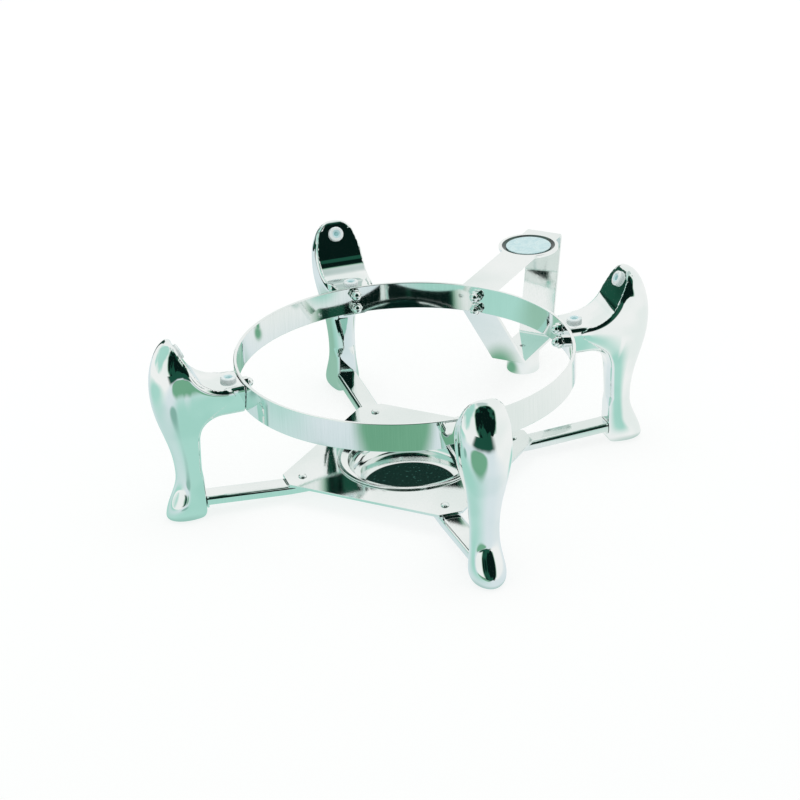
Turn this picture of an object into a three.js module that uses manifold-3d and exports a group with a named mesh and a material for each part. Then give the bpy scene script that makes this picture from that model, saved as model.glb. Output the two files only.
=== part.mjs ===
// Chafing dish stand: a polished ring on four cast legs, a burner plate on four rails, and a rear bracket.
// Millimetres, Z up. The origin is on the table under the middle of the ring.
// X runs towards the right leg and Y towards the back leg.

import * as THREE from "three";
import { mergeVertices } from "three/addons/utils/BufferGeometryUtils.js";
import Module from "manifold-3d";

const wasm = await Module();
wasm.setup();

// Gap kept between pieces that touch on the real stand
const seatGap = 0.3;
// How far a cutting shape runs past what it cuts
const cutMargin = 10;

// Facets round the ring, the cup and the discs, and the small round pieces
const ringSegments = 96;
const discSegments = 40;
const smallSegments = 12;

// Ring that carries the dish, rolled from flat strip
const ringInnerDiameter = 300;
const ringThickness = 3;
const ringHeight = 26;
const ringTopZ = 128;

// Cap nuts and studs that hold the legs and the bracket to the ring, in pairs one above the other
const studDiameter = 6;
const studHoleDiameter = 6.6;
const studPitch = 13;
const studDepthInLeg = 15;
const capNutAcrossFlats = 10;
const capNutHexHeight = 4.5;
const capNutDomeHeight = 4.5;
const capNutBoreDepth = 6.5;

// Cast leg, side view
const armReach = 40;
const armUnderDrop = 3;
const seatDrop = 0.5;
const seatLength = 15;
const swoopRadius = 32;
const swoopAngle = 61;
const hornRise = 44.5;
const hornTipOffset = 18.6;
const hornShoulder = 9;
const bellyDepth = 40.7;
const archRadius = 21;
const neckDepth = 23.5;
const neckZ = 43;
const footLength = 35.5;
const heelOffset = 0.7;
const footWidestZ = 13;
const soleToeSetback = 12;
const soleHeelSetback = 12;
const railPadTopZ = 24;

// Cast leg, widths seen from the front
const soleWidth = 11;
const footWidth = 31;
const neckWidth = 25;
const hornWidth = 45;
const hornWidestRise = 8;
const legSections = 23;
const roundShare = 0.5;
const shankFlatShare = 0.4;
const armFlatShare = 0.92;

// Silicone pads that the dish rests on
const padDiameter = 14;
const padHeadHeight = 2.6;
const padEdgeRadius = 1.2;
const padSegments = 18;
const padRecessDepth = 1.4;
const seatPadFromRing = 9.5;
const hornPadPlace = 0.62;

// Burner plate
const plateTopZ = 19.5;
const plateThickness = 2.5;
const plateHalfSpan = 116.5;
const plateCornerWidth = 22;
const plateHoleDiameter = 124;

// Fuel cup that hangs in the hole of the plate by its flange, with a sloping lip inside it
const cupFlangeOverlap = 3.5;
const cupLipWidth = 6.5;
const cupLipDrop = 2.4;
const cupDepth = 16;
const cupWall = 1.2;
const cupFloorRadius = 4.5;

// Rails from the legs to the plate, folded from sheet as inverted channels
const railWidth = 20;
const railDepth = 8;
const railSheet = 1.5;
const railUnderPlate = 31;
const railRise = 4.6;
const rivetInset = 15.5;
const rivetDiameter = 4;
const rivetHoleDiameter = 4.6;
const rivetHeadDiameter = 8;
const rivetHeadHeight = 1.6;
const rivetTailDiameter = 7;
const rivetTailHeight = 1.4;
const railScrewDiameter = 5;
const railScrewHoleDiameter = 5.6;
const railScrewHeadDiameter = 8;
const railScrewHeadHeight = 3;
const railScrewLength = 14;

// Rear bracket, a closed loop of flat strip between the right and the back leg
const bracketAzimuth = 45;
const bracketWidth = 35;
const bracketSheet = 3;
const bracketTopDrop = 2.5;
const bracketStudDrop = 2.5;
const bracketReach = 159.5;
const bracketLowReach = 131.5;
const bracketBottomZ = 21.5;
const bracketFootFold = 65.5;
const bracketBendCut = 5;
const bracketDiscDiameter = 58.5;
const bracketDiscReach = 116.5;
const bracketRecessDiameter = 52;
const bracketRecessDepth = 1.8;
const bracketPadDiameter = 44;
const bracketPadClearance = 0.5;
const bracketPadHeight = 1.2;

// Round foot under the bracket
const bracketFootDiameter = 32.5;
const bracketFootReach = 99;
const bracketFootEdge = 1.5;
const footScrewDiameter = 6;
const footScrewHoleDiameter = 6.6;
const footScrewHeadDiameter = 10;
const footScrewHeadHeight = 5;
const footScrewSink = 7;

// Places worked out from the sizes above
const ringInnerRadius = ringInnerDiameter / 2;
const ringOuterRadius = ringInnerRadius + ringThickness;
const ringBottomZ = ringTopZ - ringHeight;
const armBottomZ = ringBottomZ - armUnderDrop;
const studZs = [-studPitch / 2, studPitch / 2].map((offset) => ringBottomZ + ringHeight / 2 + offset);
const bracketTopZ = ringTopZ - bracketTopDrop;
const bracketStudZs = studZs.map((z) => z - bracketStudDrop);
const armEndX = ringOuterRadius + seatGap;
const shankX = ringOuterRadius + armReach;
const seatZ = ringTopZ - seatDrop;
const hornTipX = shankX + hornTipOffset;
const hornTipZ = ringTopZ + hornRise;
const heelX = shankX - heelOffset;
const plateBottomZ = plateTopZ - plateThickness;
const plateHoleRadius = plateHoleDiameter / 2;
const railInnerTopZ = plateBottomZ - seatGap;
const railEndX = heelX - seatGap;
const rivetX = plateHalfSpan - rivetInset;

// Surface finishes
const castChrome = new THREE.MeshStandardMaterial({ color: 0xd6e0dc, roughness: 0.06, metalness: 1 });
const polishedSteel = new THREE.MeshStandardMaterial({ color: 0xdfe7e3, roughness: 0.12, metalness: 1 });
const silicone = new THREE.MeshStandardMaterial({ color: 0xd5ebe8, roughness: 0.45, metalness: 0 });

// A closed three.js geometry as a solid for cutting and joining
function solid(geometry) {
  const bare = geometry.clone();
  bare.deleteAttribute("normal");
  bare.deleteAttribute("uv");
  const welded = mergeVertices(bare, 1e-4);
  return new wasm.Manifold(new wasm.Mesh({
    numProp: 3,
    vertProperties: new Float32Array(welded.attributes.position.array),
    triVerts: new Uint32Array(welded.index.array),
  }));
}

// A cut or joined solid as a three.js geometry
function geometryOf(body) {
  const mesh = body.getMesh();
  const geometry = new THREE.BufferGeometry();
  geometry.setAttribute("position", new THREE.BufferAttribute(new Float32Array(mesh.vertProperties), 3));
  geometry.setIndex(new THREE.BufferAttribute(new Uint32Array(mesh.triVerts), 1));
  geometry.computeVertexNormals();
  return geometry;
}

// A profile of [radius, height] pairs turned about Z, listed with the solid on the left of the line
function turned(profile, segments) {
  const points = profile.map(([radius, height]) => new THREE.Vector2(radius, height));
  return new THREE.LatheGeometry(points, segments).rotateX(Math.PI / 2);
}

// A profile that does not touch the axis is closed on itself
function turnedRing(profile, segments) {
  return turned([...profile, profile[0]], segments);
}

// A plain rod along Z between two heights
function rod(diameter, fromZ, toZ, segments = smallSegments) {
  return turned([[0, fromZ], [diameter / 2, fromZ], [diameter / 2, toZ], [0, toZ]], segments);
}

// The same rod laid along X
function rodAlongX(diameter, fromX, toX) {
  return rod(diameter, fromX, toX).rotateY(Math.PI / 2);
}

// A flat outline in the X and Z plane given a thickness across Y, centred on Y = 0
function sidePlate(shape, width, middleY = 0) {
  const geometry = new THREE.ExtrudeGeometry(shape, { depth: width, bevelEnabled: false, curveSegments: 8 });
  return geometry.translate(0, 0, -width / 2).rotateX(Math.PI / 2).translate(0, middleY, 0);
}

// A polygon in the X and Z plane
function polygon(points) {
  return new THREE.Shape(points.map(([x, z]) => new THREE.Vector2(x, z)));
}

// Smooth step between two values
function ease(from, to, share) {
  const s = Math.min(Math.max(share, 0), 1);
  return from + (to - from) * s * s * (3 - 2 * s);
}

// The space taken by the ring, grown by the seat gap, in a frame turned by an azimuth in degrees
function ringSpace(azimuth) {
  const margin = 60;
  const radius = ringOuterRadius + seatGap;
  const core = turned([[0, ringBottomZ - margin], [radius, ringBottomZ - margin],
    [radius, ringTopZ + margin], [0, ringTopZ + margin]], ringSegments);
  return solid(core.rotateZ(-THREE.MathUtils.degToRad(azimuth)));
}

// Ring band with its stud holes, given as pairs of an azimuth and the heights of the holes there
function ringBand(holePairs) {
  let band = solid(turnedRing([
    [ringInnerRadius, ringBottomZ], [ringOuterRadius, ringBottomZ],
    [ringOuterRadius, ringTopZ], [ringInnerRadius, ringTopZ]], ringSegments));
  for (const [azimuth, heights] of holePairs) {
    for (const z of heights) {
      const [fromX, toX] = [ringInnerRadius - ringThickness, ringOuterRadius + ringThickness];
      const hole = rodAlongX(studHoleDiameter, fromX, toX);
      hole.translate(0, 0, z);
      band = band.subtract(solid(hole.rotateZ(THREE.MathUtils.degToRad(azimuth))));
    }
  }
  return geometryOf(band);
}

// Outer line of the leg from the foot to the horn tip, as curves of [x, z]
function legOuterLine() {
  const at = (x, z) => new THREE.Vector2(x, z);
  const footX = heelX + footLength;
  const neckX = shankX + neckDepth;
  const bellyX = shankX + bellyDepth;
  const lowPull = 0.45 * (neckZ - footWidestZ);
  const highPull = 0.4 * (ringTopZ - neckZ);
  const crownPull = 0.5 * hornRise;
  const line = new THREE.CurvePath();
  line.add(new THREE.QuadraticBezierCurve(at(footX - soleToeSetback, 0), at(footX, 0), at(footX, footWidestZ)));
  line.add(new THREE.CubicBezierCurve(
    at(footX, footWidestZ), at(footX, footWidestZ + lowPull), at(neckX, neckZ - lowPull), at(neckX, neckZ)));
  line.add(new THREE.CubicBezierCurve(
    at(neckX, neckZ), at(neckX, neckZ + highPull), at(bellyX, ringTopZ - highPull), at(bellyX, ringTopZ)));
  line.add(new THREE.CubicBezierCurve(
    at(bellyX, ringTopZ), at(bellyX, ringTopZ + crownPull),
    at(bellyX - hornShoulder, hornTipZ), at(hornTipX, hornTipZ)));
  return line;
}

// Reads the outer line at a height
function outerXAt(points, z) {
  const next = points.findIndex((point) => point.y >= z);
  if (next <= 0) return points[Math.max(next, 0)].x;
  const [low, high] = [points[next - 1], points[next]];
  return THREE.MathUtils.lerp(low.x, high.x, (z - low.y) / (high.y - low.y));
}

// Width of the leg at a height, seen from the front
function legWidthAt(z) {
  const widestZ = ringTopZ + hornWidestRise;
  if (z < footWidestZ) {
    const rise = 1 - z / footWidestZ;
    return soleWidth + (footWidth - soleWidth) * Math.sqrt(1 - rise * rise);
  }
  if (z < neckZ) return ease(footWidth, neckWidth, (z - footWidestZ) / (neckZ - footWidestZ));
  if (z < widestZ) return ease(neckWidth, hornWidth, (z - neckZ) / (widestZ - neckZ));
  const climb = (z - widestZ) / (hornTipZ + 0.6 - widestZ);
  return hornWidth * Math.sqrt(1 - climb ** 2.4);
}

// Level slices of the leg: straight inner sides that swell to the widest line, then a half round outside
function legEnvelope() {
  const outerPoints = legOuterLine().getPoints(24);
  const roundSteps = 6;
  const swellSteps = 3;
  const innerX = ringInnerRadius - ringThickness;
  const slices = [];
  for (let i = 0; i <= legSections; i += 1) {
    const share = i / legSections;
    const z = hornTipZ * (0.5 - 0.5 * Math.cos(Math.PI * share));
    const half = legWidthAt(z) / 2;
    const outerX = outerXAt(outerPoints, z);
    const middleX = outerX - roundShare * Math.max(outerX - shankX, 0);
    const chord = half * ease(shankFlatShare, armFlatShare, (z - neckZ) / (ringTopZ - neckZ));
    const startX = Math.min(shankX, middleX - 1);
    const side = [[innerX, chord * armFlatShare]];
    for (let k = 0; k <= swellSteps; k += 1) {
      const angle = (Math.PI / 2) * (k / swellSteps);
      side.push([middleX - (middleX - startX) * Math.cos(angle), chord + (half - chord) * Math.sin(angle)]);
    }
    for (let k = 1; k <= roundSteps; k += 1) {
      const angle = (Math.PI / 2) * (k / roundSteps);
      side.push([middleX + (outerX - middleX) * Math.sin(angle), half * Math.cos(angle)]);
    }
    const mirrored = side.slice(0, -1).map(([x, y]) => [x, -y]);
    slices.push([...mirrored, ...side.reverse()].map(([x, y]) => new THREE.Vector3(x, y, z)));
  }
  return loft(slices);
}

// Closed skin through slices that have the same number of points, each running anticlockwise from above
function loft(slices) {
  const count = slices[0].length;
  const positions = slices.flat().flatMap((point) => point.toArray());
  const indices = [];
  for (let i = 0; i + 1 < slices.length; i += 1) {
    for (let j = 0; j < count; j += 1) {
      const next = (j + 1) % count;
      const [a, b, c, d] = [i * count + j, i * count + next, (i + 1) * count + next, (i + 1) * count + j];
      indices.push(a, b, c, a, c, d);
    }
  }
  const lastStart = (slices.length - 1) * count;
  for (const [triangle, start, flip] of [[slices[0], 0, true], [slices.at(-1), lastStart, false]]) {
    const flat = triangle.map((point) => new THREE.Vector2(point.x, point.y));
    for (const [a, b, c] of THREE.ShapeUtils.triangulateShape(flat, [])) {
      indices.push(start + a, start + (flip ? c : b), start + (flip ? b : c));
    }
  }
  const geometry = new THREE.BufferGeometry();
  geometry.setAttribute("position", new THREE.Float32BufferAttribute(positions, 3));
  geometry.setIndex(indices);
  return geometry;
}

// Start and end of the straight inner face of the horn, as [x, z]
function hornFace() {
  const angle = THREE.MathUtils.degToRad(swoopAngle);
  const startX = armEndX + seatLength;
  const start = [startX + swoopRadius * Math.sin(angle), seatZ + swoopRadius * (1 - Math.cos(angle))];
  return { start, end: [hornTipX, hornTipZ] };
}

// Side view of the leg: open past its outer line, cut to shape along its inner side from the horn to the sole
function legSideShape() {
  const beyondX = shankX + bellyDepth + cutMargin;
  const swoopX = armEndX + seatLength;
  const face = hornFace();
  const faceLean = (face.end[0] - face.start[0]) / (face.end[1] - face.start[1]);
  const angle = THREE.MathUtils.degToRad(swoopAngle);
  const shape = new THREE.Shape();
  shape.moveTo(beyondX, hornTipZ + cutMargin);
  shape.lineTo(face.end[0] + faceLean * cutMargin, hornTipZ + cutMargin);
  shape.lineTo(face.start[0], face.start[1]);
  shape.absarc(swoopX, seatZ + swoopRadius, swoopRadius, -Math.PI / 2 + angle, -Math.PI / 2, true);
  shape.lineTo(armEndX - cutMargin, seatZ);
  shape.lineTo(armEndX - cutMargin, armBottomZ);
  shape.lineTo(shankX - archRadius, armBottomZ);
  shape.absarc(shankX - archRadius, armBottomZ - archRadius, archRadius, Math.PI / 2, 0, true);
  shape.lineTo(shankX, neckZ);
  shape.lineTo(heelX, railPadTopZ);
  shape.lineTo(heelX, footWidestZ);
  shape.quadraticCurveTo(heelX, 0, heelX + soleHeelSetback, 0);
  shape.lineTo(heelX + soleHeelSetback, -cutMargin);
  shape.lineTo(beyondX, -cutMargin);
  shape.closePath();
  return shape;
}

// Cast leg, with blind holes for the ring studs and the rail screw, and recesses for the pads
function castLeg() {
  const sideWidth = hornWidth + 10;
  let leg = solid(legEnvelope()).intersect(solid(sidePlate(legSideShape(), sideWidth)));
  leg = leg.subtract(ringSpace(0));
  for (const z of studZs) {
    leg = leg.subtract(solid(rodAlongX(studHoleDiameter, 0, armEndX + studDepthInLeg).translate(0, 0, z)));
  }
  const recess = rod(padDiameter + 2 * seatGap, -padRecessDepth, padHeadHeight, padSegments);
  for (const seat of padSeats()) {
    leg = leg.subtract(solid(placed(recess, seat)));
  }
  const railHole = rodAlongX(railScrewHoleDiameter, heelX - 1, heelX + railScrewLength);
  return geometryOf(leg.subtract(solid(railHole.translate(0, 0, railScrewZ()))));
}

// The two pads of a leg: a place on its surface as [x, z] and the tilt of the surface from level
function padSeats() {
  const face = hornFace();
  const mix = (a, b) => a + (b - a) * hornPadPlace;
  const tilt = Math.atan2(face.end[1] - face.start[1], face.end[0] - face.start[0]);
  return [
    { name: "seat_pad", x: armEndX + seatPadFromRing, z: seatZ, tilt: 0 },
    { name: "horn_pad", x: mix(face.start[0], face.end[0]), z: mix(face.start[1], face.end[1]), tilt },
  ];
}

// Moves a piece made about Z onto a pad seat
function placed(geometry, seat) {
  return geometry.clone().rotateY(-seat.tilt).translate(seat.x, 0, seat.z);
}

// Silicone pad, a round disc bonded in a shallow recess
function restPad() {
  const radius = padDiameter / 2;
  const bottom = seatGap - padRecessDepth;
  return turned([
    [0, bottom], [radius, bottom], [radius, padHeadHeight - padEdgeRadius],
    [radius - 0.3 * padEdgeRadius, padHeadHeight - 0.3 * padEdgeRadius],
    [radius - padEdgeRadius, padHeadHeight], [0, padHeadHeight]], padSegments);
}

// Cap nut along X with its seat at X = 0 and its dome towards minus X
function capNut() {
  const hexRadius = capNutAcrossFlats / Math.sqrt(3);
  const hexagon = turned([[0, 0], [hexRadius, 0], [hexRadius, capNutHexHeight], [0, capNutHexHeight]], 6);
  const domeRadius = capNutAcrossFlats / 2 - 0.4;
  const dome = [[0, capNutHexHeight - 1], [domeRadius, capNutHexHeight - 1]];
  const steps = 3;
  for (let i = 0; i <= steps; i += 1) {
    const angle = (Math.PI / 2) * (i / steps);
    const height = capNutHexHeight + capNutDomeHeight * Math.sin(angle);
    dome.push([i === steps ? 0 : domeRadius * Math.cos(angle), height]);
  }
  const bore = rod(studHoleDiameter, -1, capNutBoreDepth);
  const nut = solid(hexagon).add(solid(turned(dome, smallSegments))).subtract(solid(bore));
  return geometryOf(nut).rotateY(-Math.PI / 2);
}

// The seat of a cap nut on the round inner face of the ring, clear of it at the corners of the nut
function capNutSeatX() {
  const hexRadius = capNutAcrossFlats / Math.sqrt(3);
  return Math.sqrt(ringInnerRadius ** 2 - hexRadius ** 2) - seatGap;
}

// Inner end of a stud, just short of the bottom of the bore of its cap nut
function studStartX() {
  return capNutSeatX() - capNutBoreDepth + 1;
}

// Height of the screw that holds a rail to its leg
function railScrewZ() {
  const webBottomZ = railInnerTopZ + 0.85 * railRise - railSheet;
  return webBottomZ - railScrewHeadDiameter / 2 - seatGap;
}

// Rail: level under the plate, rising to the leg, with a turned down tab that the screw passes through
function rail() {
  const startX = plateHalfSpan - railUnderPlate;
  const top = [[startX, railInnerTopZ], [plateHalfSpan, railInnerTopZ], [railEndX, railInnerTopZ + railRise]];
  const band = (depth) => polygon([...top, ...top.slice().reverse().map(([x, z]) => [x, z - depth])]);
  const flangeY = (railWidth - railSheet) / 2;
  const tabTopZ = railInnerTopZ + railRise - railSheet / 2;
  const tabBottomZ = railScrewZ() - railScrewHeadDiameter / 2 - seatGap;
  const tab = new THREE.BoxGeometry(railSheet, railWidth - railSheet, tabTopZ - tabBottomZ);
  tab.translate(railEndX - railSheet / 2, 0, (tabTopZ + tabBottomZ) / 2);
  const channel = solid(sidePlate(band(railSheet), railWidth))
    .add(solid(sidePlate(band(railDepth), railSheet, flangeY)))
    .add(solid(sidePlate(band(railDepth), railSheet, -flangeY)))
    .add(solid(tab));
  const rivetHole = rod(rivetHoleDiameter, railInnerTopZ - railDepth, plateTopZ).translate(rivetX, 0, 0);
  const screwHole = rodAlongX(railScrewHoleDiameter, railEndX - railSheet - 1, railEndX + 1);
  screwHole.translate(0, 0, railScrewZ());
  return geometryOf(channel.subtract(solid(rivetHole)).subtract(solid(screwHole)));
}

// Rivet through the plate and the web of a rail
function rivet() {
  const headZ = plateTopZ + seatGap;
  const tailZ = railInnerTopZ - railSheet - seatGap;
  const shank = rivetDiameter / 2;
  const tail = rivetTailDiameter / 2;
  const head = rivetHeadDiameter / 2;
  return turned([
    [0, tailZ - rivetTailHeight], [tail, tailZ - rivetTailHeight], [tail, tailZ], [shank, tailZ],
    [shank, headZ], [head, headZ], [head * 0.88, headZ + rivetHeadHeight * 0.6],
    [head * 0.5, headZ + rivetHeadHeight], [0, headZ + rivetHeadHeight]], smallSegments)
    .translate(rivetX, 0, 0);
}

// Pan head screw through the tab of a rail into the leg
function railScrew() {
  const faceX = railEndX - railSheet - seatGap;
  const headRadius = railScrewHeadDiameter / 2;
  const headHeight = railScrewHeadHeight;
  const shank = railScrewDiameter / 2;
  const screw = turned([
    [0, -headHeight], [headRadius * 0.6, -headHeight], [headRadius, -headHeight * 0.4], [headRadius, 0],
    [shank, 0], [shank, railScrewLength], [0, railScrewLength]], smallSegments);
  return screw.rotateY(Math.PI / 2).translate(faceX, 0, railScrewZ());
}

// Burner plate: a square with its corners cut off square to the rails, and a round hole for the cup
function burnerPlate() {
  const halfCorner = plateCornerWidth / 2;
  const outline = [];
  for (let quarter = 0; quarter < 4; quarter += 1) {
    const turn = (quarter * Math.PI) / 2;
    for (const side of [-halfCorner, halfCorner]) {
      const corner = new THREE.Vector2(plateHalfSpan, side).rotateAround(new THREE.Vector2(), turn);
      outline.push(corner.toArray());
    }
  }
  const shape = polygon(outline);
  shape.holes.push(new THREE.Path().absarc(0, 0, plateHoleRadius, 0, 2 * Math.PI, true));
  const options = { depth: plateThickness, bevelEnabled: false, curveSegments: 24 };
  const sheet = new THREE.ExtrudeGeometry(shape, options);
  let plate = solid(sheet.translate(0, 0, plateBottomZ));
  for (let quarter = 0; quarter < 4; quarter += 1) {
    const hole = rod(rivetHoleDiameter, plateBottomZ - 1, plateTopZ + 1).translate(rivetX, 0, 0);
    plate = plate.subtract(solid(hole.rotateZ((quarter * Math.PI) / 2)));
  }
  return geometryOf(plate);
}

// Fuel cup: pressed dish with a flat rim that rests on the plate and a lip that slopes down to the mouth
function fuelCup() {
  const rimRadius = plateHoleRadius + cupFlangeOverlap;
  const mouthRadius = plateHoleRadius - cupLipWidth;
  const outerRadius = mouthRadius + cupWall;
  const rimBottomZ = plateTopZ + seatGap;
  const rimTopZ = rimBottomZ + cupWall;
  const lipZ = rimTopZ - cupLipDrop;
  const floorZ = lipZ - cupDepth;
  const bottomZ = floorZ - cupWall;
  const bend = (radius, startZ, size, inside) => {
    const arc = [];
    const steps = 3;
    for (let i = 0; i <= steps; i += 1) {
      const angle = (Math.PI / 2) * (i / steps);
      arc.push([radius - size + size * Math.sin(angle), startZ + size - size * Math.cos(angle)]);
    }
    return inside ? arc.reverse() : arc;
  };
  return turned([
    [0, bottomZ], ...bend(outerRadius, bottomZ, cupFloorRadius + cupWall, false),
    [outerRadius, lipZ - cupWall], [plateHoleRadius, rimBottomZ], [rimRadius, rimBottomZ],
    [rimRadius, rimTopZ], [plateHoleRadius, rimTopZ], [mouthRadius, lipZ],
    ...bend(mouthRadius, floorZ, cupFloorRadius, true), [0, floorZ]], 48);
}

// Corners of the bracket loop as [x, z]: the outside of the strip, or its inside for an inset of the sheet
function bracketCorners(inset) {
  const ringX = ringInnerRadius - ringThickness;
  const wallX = ringOuterRadius + seatGap + bracketSheet;
  const topX = ringOuterRadius + bracketReach;
  const lowX = ringOuterRadius + bracketLowReach;
  const foldX = ringOuterRadius + bracketFootFold;
  const outer = [[ringX, bracketTopZ], [topX, bracketTopZ], [lowX, bracketBottomZ], [foldX, bracketBottomZ],
    [ringOuterRadius, ringBottomZ], [ringX, ringBottomZ]];
  if (!inset) return outer;
  const [, b, c, d, e] = outer;
  const shifted = (from, to) => {
    const length = Math.hypot(to[0] - from[0], to[1] - from[1]);
    const [nx, nz] = [((to[1] - from[1]) * inset) / length, ((from[0] - to[0]) * inset) / length];
    return [from, to].map(([x, z]) => [x + nx, z + nz]);
  };
  const crossing = ([p, q], [r, s]) => {
    const [ux, uz, vx, vz] = [q[0] - p[0], q[1] - p[1], s[0] - r[0], s[1] - r[1]];
    const along = ((r[0] - p[0]) * vz - (r[1] - p[1]) * vx) / (ux * vz - uz * vx);
    return [p[0] + ux * along, p[1] + uz * along];
  };
  const topLine = shifted(outer[0], b);
  const upright = shifted(b, c);
  const bottom = shifted(c, d);
  const slant = shifted(d, e);
  const wall = [[wallX, 0], [wallX, bracketTopZ]];
  return [crossing(wall, topLine), crossing(topLine, upright), crossing(upright, bottom),
    crossing(bottom, slant), crossing(slant, wall)];
}

// A closed outline through corners, each rounded by cutting back and curving across
function roundedOutline(corners, cutAt) {
  const path = new THREE.Shape();
  corners.forEach((corner, i) => {
    const cut = cutAt(i);
    const toward = (other) => {
      const share = cut / Math.hypot(other[0] - corner[0], other[1] - corner[1]);
      return [corner[0] + (other[0] - corner[0]) * share, corner[1] + (other[1] - corner[1]) * share];
    };
    const before = toward(corners.at(i - 1));
    const after = toward(corners[(i + 1) % corners.length]);
    if (i === 0) path.moveTo(before[0], before[1]);
    else path.lineTo(before[0], before[1]);
    if (cut > 0) path.quadraticCurveTo(corner[0], corner[1], after[0], after[1]);
  });
  path.closePath();
  return path;
}

// Rear bracket: the strip loop, widened at the top to a disc with a dished recess, bored for studs and screw
function bracketLoop() {
  const atFold = (i) => i >= 1 && i <= 3;
  const outer = roundedOutline(bracketCorners(0), (i) => (atFold(i) ? bracketBendCut : 0));
  const inner = roundedOutline(bracketCorners(bracketSheet), (i) => (atFold(i) ? bracketBendCut / 2 : 0));
  const discX = ringOuterRadius + bracketDiscReach;
  const disc = rod(bracketDiscDiameter, bracketTopZ - bracketSheet, bracketTopZ, discSegments);
  disc.translate(discX, 0, 0);
  const floorZ = bracketTopZ - bracketRecessDepth;
  const floorRadius = bracketPadDiameter / 2 + bracketPadClearance;
  const rimRadius = bracketRecessDiameter / 2;
  const recess = turned([[0, floorZ], [floorRadius, floorZ], [rimRadius, bracketTopZ],
    [rimRadius, bracketTopZ + cutMargin], [0, bracketTopZ + cutMargin]], discSegments);
  recess.translate(discX, 0, 0);
  let loop = solid(sidePlate(outer, bracketWidth)).subtract(solid(sidePlate(inner, bracketWidth + 2)));
  loop = loop.add(solid(disc)).subtract(solid(recess));
  loop = loop.subtract(ringSpace(bracketAzimuth));
  for (const z of bracketStudZs) {
    const bore = rodAlongX(studHoleDiameter, ringInnerRadius, ringOuterRadius + bracketSheet + 5);
    loop = loop.subtract(solid(bore.translate(0, 0, z)));
  }
  const screwHole = rod(footScrewHoleDiameter, 0, bracketBottomZ + bracketSheet + 2);
  return geometryOf(loop.subtract(solid(screwHole.translate(ringOuterRadius + bracketFootReach, 0, 0))));
}

// Round pad that lies in the recess on top of the bracket
function bracketPad() {
  const bottomZ = bracketTopZ - bracketRecessDepth + seatGap;
  return rod(bracketPadDiameter, bottomZ, bottomZ + bracketPadHeight, discSegments)
    .translate(ringOuterRadius + bracketDiscReach, 0, 0);
}

// Turned foot under the bracket, with a counterbored hole for its screw
function bracketFoot() {
  const radius = bracketFootDiameter / 2;
  const topZ = bracketBottomZ - seatGap;
  const edge = bracketFootEdge;
  const bore = footScrewHoleDiameter / 2;
  const sinkRadius = footScrewHeadDiameter / 2 + seatGap;
  return turnedRing([
    [sinkRadius, 0], [radius - edge, 0], [radius, edge], [radius, topZ - edge / 2],
    [radius - edge / 2, topZ], [bore, topZ], [bore, footScrewSink], [sinkRadius, footScrewSink]], 24)
    .translate(ringOuterRadius + bracketFootReach, 0, 0);
}

// Screw that holds the foot to the bracket from below
function bracketFootScrew() {
  const headTopZ = footScrewSink - seatGap;
  const headRadius = footScrewHeadDiameter / 2;
  const shank = footScrewDiameter / 2;
  const endZ = bracketBottomZ + bracketSheet;
  return turned([
    [0, headTopZ - footScrewHeadHeight], [headRadius, headTopZ - footScrewHeadHeight], [headRadius, headTopZ],
    [shank, headTopZ], [shank, endZ], [0, endZ]], smallSegments)
    .translate(ringOuterRadius + bracketFootReach, 0, 0);
}

// Stud clinched flush in the bracket strip
function bracketStud() {
  const endX = ringOuterRadius + seatGap + bracketSheet;
  return rodAlongX(studDiameter, studStartX(), endX);
}

// Stud between a leg and its cap nut
function legStud() {
  return rodAlongX(studDiameter, studStartX(), armEndX + studDepthInLeg - 1);
}

const stand = new THREE.Group();

// Adds one named piece to a group
function addPiece(group, name, geometry, material, z = 0, x = 0) {
  const mesh = new THREE.Mesh(geometry, material);
  mesh.name = name;
  mesh.position.set(x, 0, z);
  group.add(mesh);
}

// Everything that repeats at each leg, in a group turned about Z
const stations = { right: 0, back: 90, left: 180, front: 270 };
const levels = ["lower", "upper"];
const legGeometry = castLeg();
const nutGeometry = capNut();
const padGeometry = restPad();
for (const [station, azimuth] of Object.entries(stations)) {
  const group = new THREE.Group();
  group.rotation.z = THREE.MathUtils.degToRad(azimuth);
  stand.add(group);
  addPiece(group, `leg_${station}`, legGeometry, castChrome);
  for (const seat of padSeats()) {
    addPiece(group, `${seat.name}_${station}`, placed(padGeometry, seat), silicone);
  }
  studZs.forEach((z, i) => {
    addPiece(group, `leg_stud_${station}_${levels[i]}`, legStud(), polishedSteel, z);
    addPiece(group, `cap_nut_${station}_${levels[i]}`, nutGeometry, castChrome, z, capNutSeatX());
  });
  addPiece(group, `rail_${station}`, rail(), polishedSteel);
  addPiece(group, `rail_screw_${station}`, railScrew(), polishedSteel);
  addPiece(group, `plate_rivet_${station}`, rivet(), polishedSteel);
}

// Rear bracket with its fasteners, pad and foot
const rear = new THREE.Group();
rear.rotation.z = THREE.MathUtils.degToRad(bracketAzimuth);
stand.add(rear);
addPiece(rear, "bracket_loop", bracketLoop(), polishedSteel);
addPiece(rear, "bracket_pad", bracketPad(), silicone);
addPiece(rear, "bracket_foot", bracketFoot(), castChrome);
addPiece(rear, "bracket_foot_screw", bracketFootScrew(), polishedSteel);
bracketStudZs.forEach((z, i) => {
  addPiece(rear, `bracket_stud_${levels[i]}`, bracketStud(), polishedSteel, z);
  addPiece(rear, `cap_nut_bracket_${levels[i]}`, nutGeometry, castChrome, z, capNutSeatX());
});

// Ring, plate and cup on the middle axis
const holePairs = [...Object.values(stations).map((azimuth) => [azimuth, studZs]), [bracketAzimuth, bracketStudZs]];
addPiece(stand, "ring_band", ringBand(holePairs), polishedSteel);
addPiece(stand, "burner_plate", burnerPlate(), polishedSteel);
addPiece(stand, "fuel_cup", fuelCup(), polishedSteel);

export default stand;
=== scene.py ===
import math

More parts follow.
